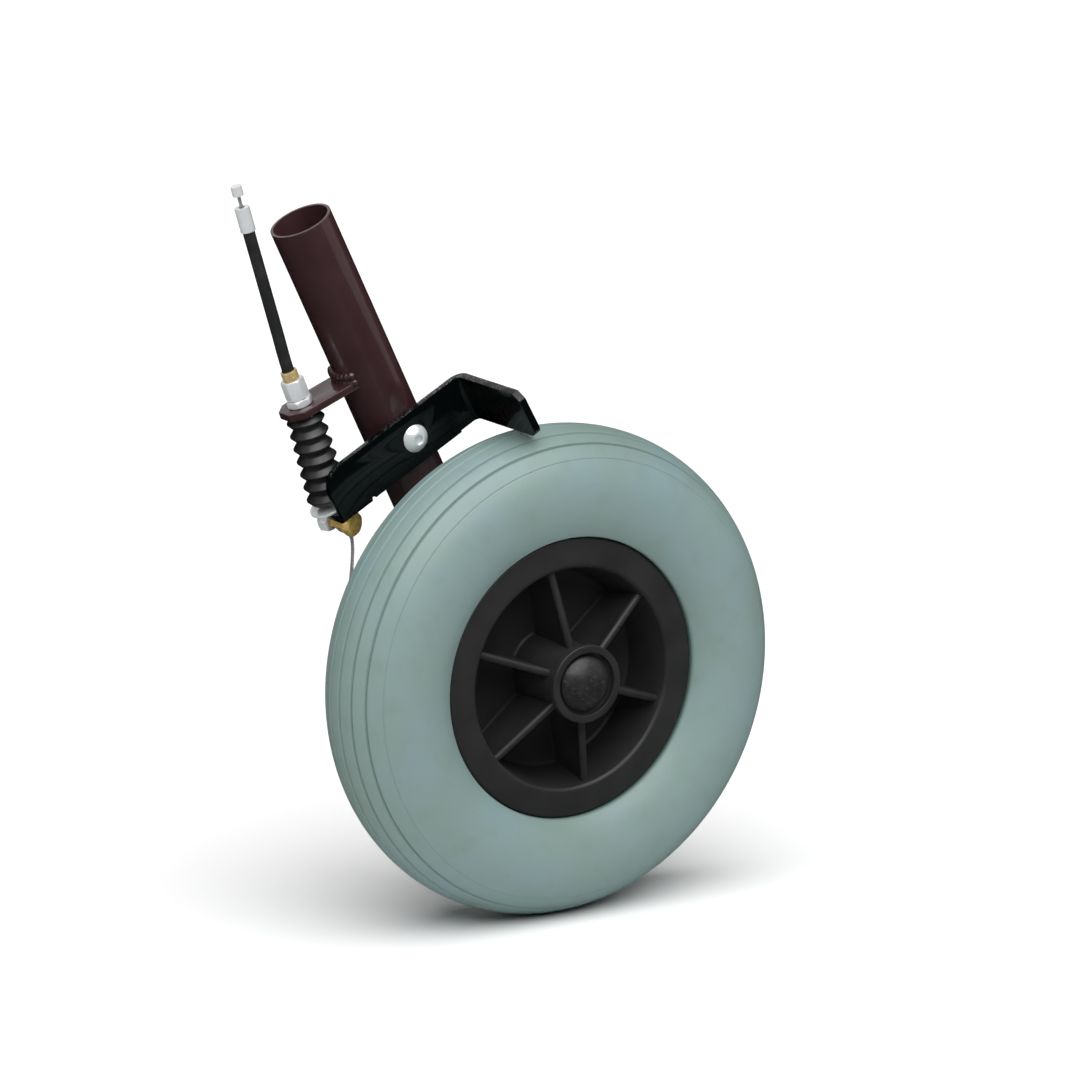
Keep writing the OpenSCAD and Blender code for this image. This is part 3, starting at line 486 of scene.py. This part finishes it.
def rib_ring(bm, radius, edge, root):
    """One end of a rib: a foot spread on the web, a thin wall and a round bead on its free edge."""
    side = 1 if edge > root else -1
    reach = asin(rib_half / rib_bead_r)
    bead_steps = 12
    bead = [pi / 2 - (pi - reach) * (1 - 2 * step / bead_steps) for step in range(bead_steps + 1)]
    outline = [
        (-rib_half - rib_foot, root),
        (-rib_half - rib_foot / 3, root + side * (rib_foot / 3 + rib_overlap)),
        (-rib_half, root + side * (rib_foot + rib_overlap)),
    ]
    for turn in reversed(bead):
        outline.append((rib_bead_r * cos(turn), edge + side * rib_bead_r * sin(turn)))
    outline += [(-across, up) for across, up in reversed(outline[:3])]
    ring = [bm.verts.new((radius * MM, across * MM, up * MM)) for across, up in outline]
    return [bm.edges.new(pair) for pair in zip(ring, ring[1:] + ring[:1])]


rib_edges = ((13.5, 19.6, web_front - rib_overlap), (-13.4, -19.6, web_back + rib_overlap))
bm = bmesh.new()
for rim_edge, boss_edge, root in rib_edges:
    for i in range(rib_count):
        inner = rib_ring(bm, boss_r - rib_overlap, boss_edge, root)
        outer = rib_ring(bm, barrel_mouth_r + rib_overlap, rim_edge, root)
        bmesh.ops.bridge_loops(bm, edges=inner + outer)
        bmesh.ops.holes_fill(bm, edges=inner + outer, sides=0)
        around = Matrix.Rotation(radians(rib_first) + tau * i / rib_count, 3, "Z")
        verts = list({v for edge in inner + outer for v in edge.verts})
        bmesh.ops.rotate(bm, verts=verts, cent=(0, 0, 0), matrix=around)
bmesh.ops.recalc_face_normals(bm, faces=bm.faces[:])
bm.transform(on_axle)
ribs = settle("hub_ribs", bm)
fit(ribs, "wheel", hub_plastic, "hub_plastic", "hub")
hub = lathe("hub_moulding", hub_outline, on_axle, 192)
fit(hub, "wheel", hub_plastic, "hub_plastic", "hub")


# ---------------------------------------------------------------------------------------------
# Hub cap. A domed nylon cap whose short skirt is pressed into the hub's collar. It is smoother
# than the hub, with a few pale scratches.
dome_r, dome_edge, dome_h, cap_wall = 11.3, 0.9, 5.2, 1.4
cap_gap, skirt_l, inside_share = 0.05, 3, 0.82
dome_base, skirt_r = collar_floor + cap_gap, bearing_r - cap_gap
sphere_r = (dome_r ** 2 + dome_h ** 2) / (2 * dome_h)
sphere_at = dome_base + dome_edge + dome_h - sphere_r
sweep = asin(dome_r / sphere_r)


def dome(radius, count):
    """Points down a dome from its top to its edge."""
    turns = [sweep * i / count for i in range(count + 1)]
    return [(radius * sin(turn), sphere_at + radius * cos(turn)) for turn in turns]


outside = dome(sphere_r, 20)
outside[-1] = (*outside[-1], 0.4)
inside = [(r * inside_share, z) for r, z in reversed(dome(sphere_r - cap_wall, 10))]
skirt = [
    (dome_r, dome_base, 0.3), (skirt_r, dome_base), (skirt_r, dome_base - skirt_l, 0.3),
    (bearing_r - cap_wall, dome_base - skirt_l, 0.3), (bearing_r - cap_wall, dome_base),
]
cap = lathe("cap_dome", outside + skirt + inside, on_axle, 128, closed=False)
cap_plastic = Finish("cap_plastic", {"Specular IOR Level": 0.5})
haze = cap_plastic.noise(5, 5)
scratched = cap_plastic.window(cap_plastic.noise(2.2, 6, (1, 1, 3)), 0.55, 0.7)
handled = cap_plastic.blend(haze, (0.010, 0.010, 0.011), (0.026, 0.026, 0.027))
cap_plastic.feed(cap_plastic.shader, {
    "Base Color": cap_plastic.blend(scratched * 0.5, handled, (0.075, 0.068, 0.060)),
    "Roughness": cap_plastic.window(haze, 0.35, 0.65, 0.34, 0.5),
    "Normal": cap_plastic.relief(cap_plastic.noise(0.4, 3), 0.02, 0.3),
})
fit(cap, "wheel", cap_plastic, "hub_plastic", "hub_cap")


# ---------------------------------------------------------------------------------------------
# Tyre. Solid grey-green polyurethane moulded round the rim, of round section, with three fine
# grooves each side of the middle of the tread and a faint crease at each shoulder.
section_r, section_at = 25, 75
groove_depth, groove_half = 0.8, 0.7
crease_depth, crease_half = 0.22, 0.3
tyre_gap, bed_gap, lip_round = 0.3, 0.1, 0.9
arc_step, after_groove = 2.5, 1.2
grooves = []
for side in (-1, 1):
    grooves += [(side * angle, groove_depth, groove_half, 0.22) for angle in (7.5, 22.5, 37.5)]
    grooves += [(side * 54, crease_depth, crease_half, 0.12)]


def on_section(angle, depth=0):
    """A point of the tyre's section, by its angle from the middle of the tread."""
    turn = radians(angle)
    return (section_at + (section_r - depth) * cos(turn), (section_r - depth) * sin(turn))


lip = degrees(acos((rim_r + tyre_gap - section_at) / section_r))
tyre_outline = []
reached = -lip
for angle, depth, half, soft in sorted(grooves) + [(lip, 0, 0, 0)]:
    spread = degrees(half / section_r)
    stretch = angle - spread - reached
    count = max(1, ceil(stretch / arc_step))
    for step in range(count):
        tyre_outline.append(on_section(reached + stretch * step / count))
    if depth:
        tyre_outline.append((*on_section(angle - spread), soft))
        tyre_outline.append((*on_section(angle, depth), soft))
        tyre_outline.append((*on_section(angle + spread), soft))
        reached = angle + spread + after_groove
tyre_outline[0] = (*tyre_outline[0], lip_round)
tyre_outline.append((*on_section(lip), lip_round))
for side in (1, -1):
    bed = (bed_r + bed_gap, side * (seat_half - bed_gap), 0.3)
    edge = (rim_r + tyre_gap, side * (seat_half - bed_gap), 0.3)
    tyre_outline += [edge, bed] if side == 1 else [bed, edge]
tyre = lathe("tyre_moulding", tyre_outline, on_axle, 256)

# Painted shade: each face's depth in a groove or crease, squared, darkens the base colour below,
# strongly in the grooves and faintly in the shoulder creases.
groove = tyre.data.attributes.new("groove", "FLOAT", "FACE")
for face in tyre.data.polygons:
    out = face.center - wheel_middle
    sunk = section_r * MM - hypot(hypot(out.x, out.z) - section_at * MM, out.y)
    groove.data[face.index].value = min(1, sunk / (groove_depth * MM)) ** 2

tyre_rubber = Finish("tyre_rubber", {
    "Coat Weight": 0.15, "Coat Roughness": 0.3, "Specular IOR Level": 0.4,
})
cloud = tyre_rubber.window(tyre_rubber.noise(60, 3), 0.35, 0.65)
patch = tyre_rubber.window(tyre_rubber.noise(30, 4), 0.45, 0.7)
stain = tyre_rubber.window(tyre_rubber.noise(9, 5), 0.52, 0.75)
fleck = tyre_rubber.window(tyre_rubber.noise(0.8, 2), 0.62, 0.8)
painted_groove_shade_mask = tyre_rubber.add("Attribute", {"attribute_name": "groove"}, {}, "Fac")
green = tyre_rubber.blend(cloud, (0.202, 0.280, 0.256), (0.212, 0.308, 0.295))
bluish = tyre_rubber.blend(patch * 0.6, green, (0.205, 0.300, 0.326))
stained = tyre_rubber.blend(stain * 0.35, bluish, (0.178, 0.243, 0.205))
dotted = tyre_rubber.blend(fleck * 0.2, stained, (0.13, 0.19, 0.17))
tyre_rubber.feed(tyre_rubber.shader, {
    # Painted shade: a dark green laid into the grooves by their depth.
    "Base Color": tyre_rubber.blend(painted_groove_shade_mask * 0.8, dotted, (0.085, 0.150, 0.120)),
    "Roughness": tyre_rubber.window(patch, 0, 1, 0.42, 0.52),
    "Normal": tyre_rubber.relief(tyre_rubber.noise(1.6, 3), 0.04, 0.3),
})
fit(tyre, "wheel", tyre_rubber, "tyre", "tyre")


# ---------------------------------------------------------------------------------------------
# Bearings and axle. Two shielded ball bearings in the boss turn on an M8 bolt that goes through
# the leg tube, with plastic saddles shaped to the tube and a locking nut on the far side.
bearing_steel = Finish("bearing_steel", {"Metallic": 0.8})
ground_marks = bearing_steel.noise(0.3, 2, (1, 0.05, 1))
bearing_steel.feed(bearing_steel.shader, {
    "Base Color": bearing_steel.blend(ground_marks, (0.5, 0.51, 0.53), (0.66, 0.67, 0.68)),
    "Roughness": bearing_steel.window(ground_marks, 0.3, 0.7, 0.15, 0.3),
    "Normal": bearing_steel.relief(ground_marks, 0.01, 0.3),
})
for node in ("bearing_outer_rings", "bearing_inner_rings", "bearing_balls", "bearing_shields"):
    dress(frame["nodes"][node], bearing_steel)
dress(frame["nodes"]["bearing_spacer"], zinc_plate)
dress(frame["nodes"]["axle_head_washer"], zinc_plate)
for name, node in (("axle_screw", "axle_bolt"), ("axle_lock_nut", "axle_nut")):
    fit(softened(name, node, 0.3), "leg", zinc_plate, "zinc_plate", node)
for name, node in (("axle_sleeve", "axle_spacer"), ("axle_saddle", "axle_saddle_washer"),
                   ("pivot_saddle", "pivot_saddle_washer")):
    fit(softened(name, node, 0.2), "leg", black_plastic, "black_plastic", node)


# ---------------------------------------------------------------------------------------------
# Brake lever. A 3 mm steel plate, cut and bent: bar, shoe across the tread and flange for the
# cable, in glossy black enamel that is thin and chipped along the sheared edges.
lever = softened("lever_plate", "brake_lever", 0.45, thin=3.2)
lever_paint = Finish("lever_paint", {
    "Coat Weight": 0.5, "Coat Roughness": 0.08, "Specular IOR Level": 0.05,
})
sheared = lever_paint.add("Attribute", {"attribute_name": "worn"}, {}, "Fac")
chipped = lever_paint.window(lever_paint.noise(7, 2), 0.45, 0.55)
worn = sheared * chipped * lever_paint.window(lever_paint.noise(0.5, 3), 0.61, 0.66)
ripple = lever_paint.noise(5, 2)
lever_paint.feed(lever_paint.shader, {
    "Base Color": lever_paint.blend(worn, (0.0018, 0.0028, 0.0031), (0.8, 0.81, 0.81)),
    "Metallic": worn,
    "Roughness": lever_paint.window(ripple, 0.3, 0.7, 0.2, 0.3),
    "Normal": lever_paint.relief(ripple, 0.02, 0.1),
})
fit(lever, "lever", lever_paint, "lever_paint", "brake_lever")


# ---------------------------------------------------------------------------------------------
# Pivot. A domed M6 screw with a hexagon socket, a brass bush in the lever and a locking nut
# behind the tube.
for name, node in (("pivot_screw", "pivot_bolt"), ("pivot_lock_nut", "pivot_nut")):
    fit(softened(name, node, 0.2), "leg", zinc_plate, "zinc_plate", node)
brass_metal = Finish("brass_metal", {"Metallic": 0.5, "Coat Weight": 0.4, "Coat Roughness": 0.1})
tarnish = brass_metal.noise(1.5, 4)
brass_metal.feed(brass_metal.shader, {
    "Base Color": brass_metal.blend(tarnish, (0.70, 0.50, 0.20), (0.95, 0.80, 0.48)),
    "Roughness": brass_metal.window(tarnish, 0.3, 0.7, 0.18, 0.34),
    "Normal": brass_metal.relief(brass_metal.noise(0.3, 2), 0.01, 0.3),
})
dress(frame["nodes"]["pivot_bush"], brass_metal)


# ---------------------------------------------------------------------------------------------
# Boot, spring and seat. A black rubber bellows of seven folds over the return spring, between the
# tab and a zinc washer on the lever's flange. In use both shorten a little as the brake goes on;
# here they stand at one length, each with a mesh of its own.
seat = softened("spring_seat_washer", "spring_seat", 0.2)
fit(seat, "lever", zinc_plate, "zinc_plate", "spring_seat")

on_span = facing(tab_hole - pull_line * span_l * MM, pull_line)
fold_count, fold_low, fold_high = 7, 1.9, span_l - 2.5
fold_h = (fold_high - fold_low) / (2 * fold_count)
ridge_low_r, ridge_high_r, valley, boot_wall = 8.8, 7.8, 2.3, 1
ridge_round, valley_round = 0.28, 0.9


def fold_r(i):
    """Radius of the boot at one of its folds, ridges on odd numbers."""
    ridge = ridge_low_r + (ridge_high_r - ridge_low_r) * i / (2 * fold_count)
    return ridge if i % 2 else ridge - valley


folds = range(2 * fold_count + 1)
boot_outline = [
    (fold_r(i), fold_low + fold_h * i, ridge_round if i % 2 else valley_round) for i in folds
]
boot_outline += [(fold_r(i) - boot_wall, fold_low + fold_h * i, 0.3) for i in reversed(folds)]
boot = lathe("boot_bellows", boot_outline, on_span, 96)
boot_rubber = Finish("boot_rubber", {"Specular IOR Level": 0.7})
matt = boot_rubber.noise(3, 4)
boot_rubber.feed(boot_rubber.shader, {
    "Base Color": boot_rubber.blend(matt, (0.007, 0.007, 0.007), (0.017, 0.017, 0.017)),
    "Roughness": boot_rubber.window(matt, 0.3, 0.7, 0.38, 0.5),
    "Normal": boot_rubber.relief(boot_rubber.noise(0.5, 3), 0.03, 0.4),
})
fit(boot, "leg", boot_rubber, "boot_rubber", "boot")
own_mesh(boot)

spring_r, spring_wire_r, spring_turns = 3.6, 0.6, 9
spring_low, spring_high = 2.55, span_l - 8.6
spring_steps = 28 * spring_turns
bm = bmesh.new()
bmesh.ops.create_circle(bm, segments=12, radius=spring_wire_r * MM, cap_ends=False)
bmesh.ops.rotate(bm, verts=bm.verts[:], cent=(0, 0, 0), matrix=Matrix.Rotation(pi / 2, 3, "X"))
bmesh.ops.translate(bm, verts=bm.verts[:], vec=(spring_r * MM, 0, spring_low * MM))
rise = (spring_high - spring_low) * MM / spring_steps
bmesh.ops.spin(
    bm, geom=bm.verts[:] + bm.edges[:], cent=(0, 0, 0), axis=(0, 0, 1), dvec=(0, 0, rise),
    angle=tau * spring_turns, steps=spring_steps, use_merge=False,
)
bmesh.ops.holes_fill(bm, edges=[edge for edge in bm.edges if edge.is_boundary], sides=0)
bmesh.ops.recalc_face_normals(bm, faces=bm.faces[:])
bm.transform(on_span)
spring = settle("spring_coil", bm)
fit(spring, "leg", bearing_steel, "bright_steel", "return_spring")
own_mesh(spring)


# ---------------------------------------------------------------------------------------------
# Wire clamp. A cross-drilled bolt in yellow zinc under the flange, with a zinc nut that grips
# the wire, whose short tail hangs free and ends in a crimped cap.
yellow_zinc = Finish("yellow_zinc", {"Metallic": 0.5, "Coat Weight": 0.5, "Coat Roughness": 0.1})
rainbow = yellow_zinc.noise(2.4, 3)
tones = {"stops": [
    (0.30, (0.85, 0.56, 0.10)), (0.45, (0.92, 0.68, 0.20)),
    (0.55, (0.80, 0.44, 0.10)), (0.70, (0.74, 0.64, 0.22)),
]}
yellow_zinc.feed(yellow_zinc.shader, {
    "Base Color": yellow_zinc.add("ValToRGB", tones, [rainbow]),
    "Roughness": yellow_zinc.window(rainbow, 0.3, 0.7, 0.2, 0.34),
    "Normal": yellow_zinc.relief(yellow_zinc.noise(0.3, 2), 0.015, 0.3),
})
fit(softened("clamp_bolt", "anchor_bolt", 0.25), "lever", yellow_zinc, "yellow_zinc", "anchor_bolt")
fit(softened("clamp_nut", "anchor_nut", 0.25), "lever", zinc_plate, "zinc_plate", "anchor_nut")
tail_route = [
    (0, 0, -1), (0.5, -0.1, -2.2), (2, -0.5, -3.8), (4.4, -1.3, -5.1), (6.2, -1.9, -7),
    (6.6, -2.1, -9.5), (6.6, -2.3, -13), (6.2, -2.5, -18), (5.6, -2.6, -23), (5.2, -2.7, -27.5),
]
tail = stranded_wire("wire_tail_strands", [wire_foot + Vector(point) * MM for point in tail_route])
fit(tail, "lever", wire_steel, "wire_steel", "wire_tail")
crimp = softened("wire_crimp", "wire_end_cap", 0.15)
fit(crimp, "lever", zinc_plate, "zinc_plate", "wire_end_cap")


# ---------------------------------------------------------------------------------------------
# Cable adjuster. A hollow zinc screw with a long hexagon head, locked on the tab by a jam nut
# and turned in a nut under it. A brass end cap with turned rings holds the housing in its head.
for name, node, body in (("adjuster_screw", "adjuster_bolt", "adjuster"),
                         ("adjuster_jam_nut", "jam_nut", "leg"),
                         ("adjuster_lower_nut", "adjuster_nut", "leg")):
    fit(softened(name, node, 0.22), body, zinc_plate, "zinc_plate", node)
dress(frame["nodes"]["housing_ferrule"], brass_metal)
